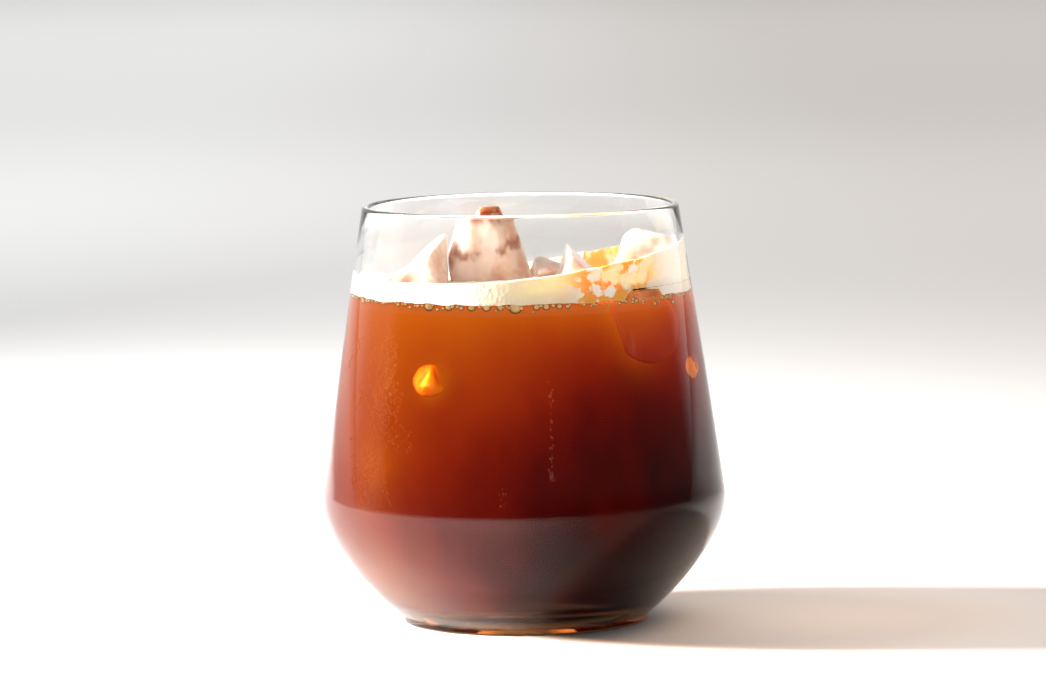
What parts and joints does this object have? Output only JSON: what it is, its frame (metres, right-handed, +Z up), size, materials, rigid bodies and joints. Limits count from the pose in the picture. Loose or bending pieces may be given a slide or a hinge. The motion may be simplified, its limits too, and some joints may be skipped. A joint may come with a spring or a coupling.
{
  "type": "cold brew coffee in a glass tumbler",
  "caption": "Stemless clear glass tumbler with a low rounded belly and thick foot, filled with cold brew coffee over broken ice that stands out of the drink.",
  "frame": {"origin": "middle of the glass's foot, on the surface it stands on", "axes": "+Z up through the rim, +X to the right and +Y away from the viewer in the picture's view"},
  "size_m": [0.0888, 0.0888, 0.092],
  "materials": {
    "glass": "clear, fire-polished",
    "coffee": "clear amber to near black brown liquid, glossy",
    "ice": "wet, partly cloudy, tinted by coffee"
  },
  "bodies": {
    "root": {"glass": "glass", "coffee": "coffee", "ice_block": "ice", "ice_peak": "ice", "ice_slope": "ice", "ice_point": "ice", "ice_wall": "ice", "ice_front": "ice", "ice_back": "ice"}
  },
  "joints": []
}
